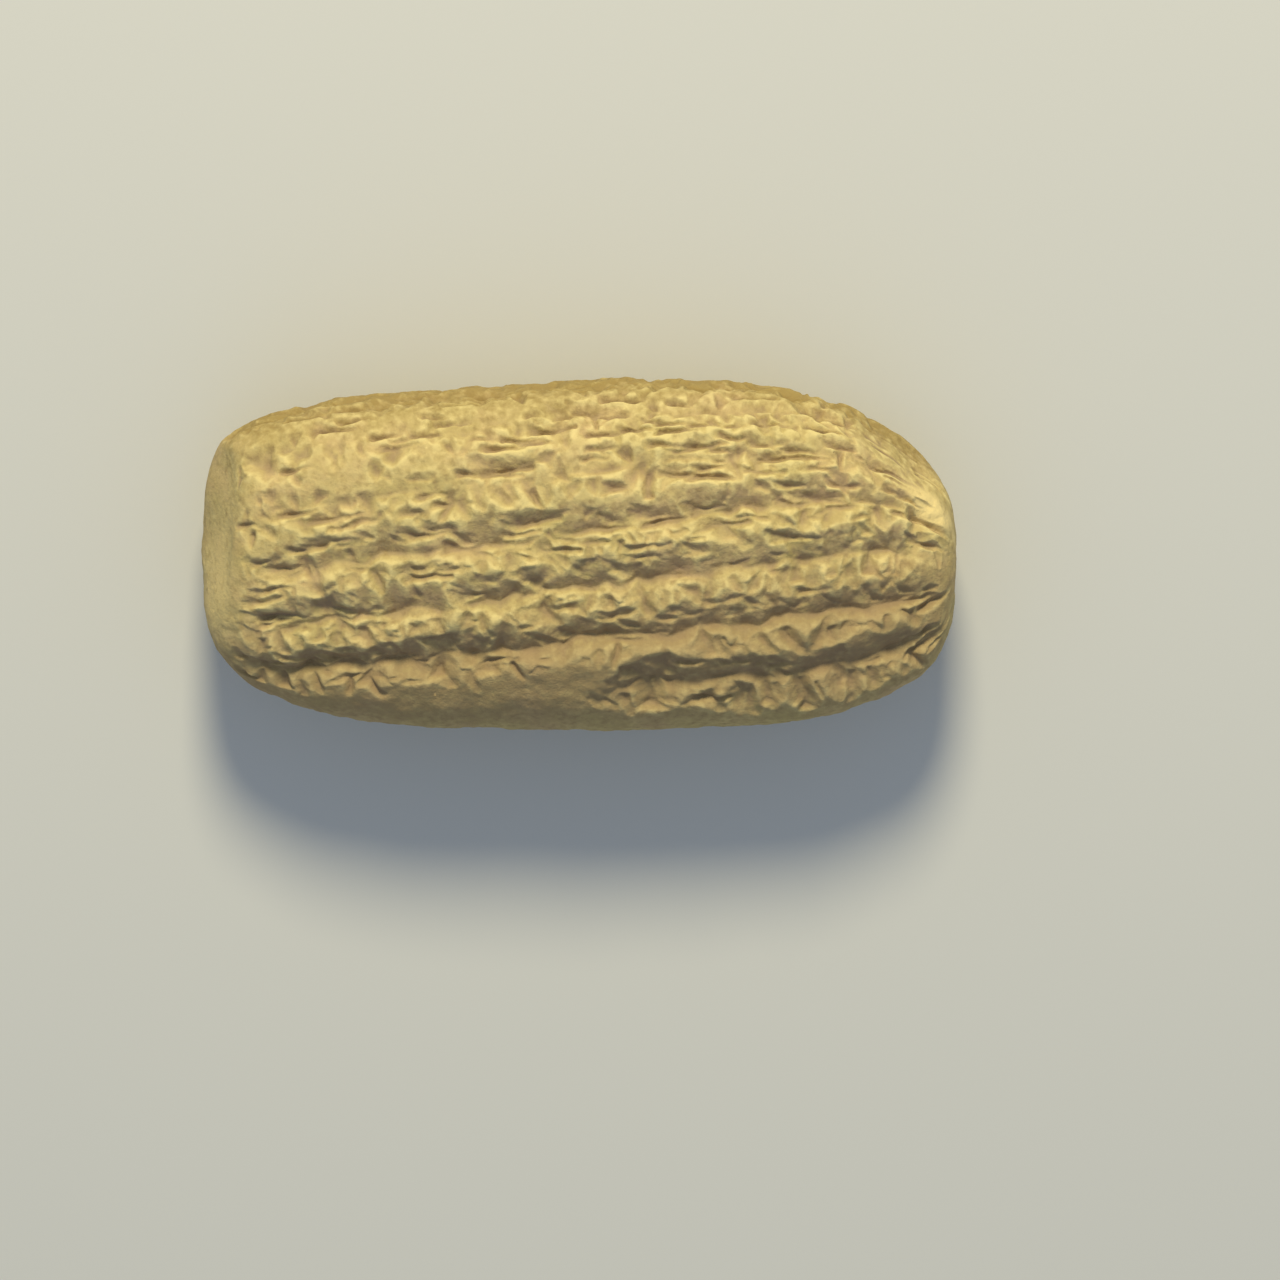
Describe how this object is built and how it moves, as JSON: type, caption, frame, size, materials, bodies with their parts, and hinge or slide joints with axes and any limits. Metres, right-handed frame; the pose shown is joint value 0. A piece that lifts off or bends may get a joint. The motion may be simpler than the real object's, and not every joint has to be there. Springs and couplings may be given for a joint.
{
  "type": "cuneiform tablet",
  "caption": "Pillow-shaped clay tablet, wider than high, lying on its back, its crowned face covered with rows of impressed wedge strokes.",
  "frame": {"origin": "middle of the small flat on the back that the tablet rests on", "axes": "+X along the written rows, to the right as seen; +Y up the face to its top edge; +Z out of the written face"},
  "size_m": [0.0908, 0.0427, 0.0252],
  "materials": {
    "clay": "dry, unglazed, matt tan clay with earth in the strokes"
  },
  "bodies": {
    "root": {"clay_tablet": "clay"}
  },
  "joints": []
}
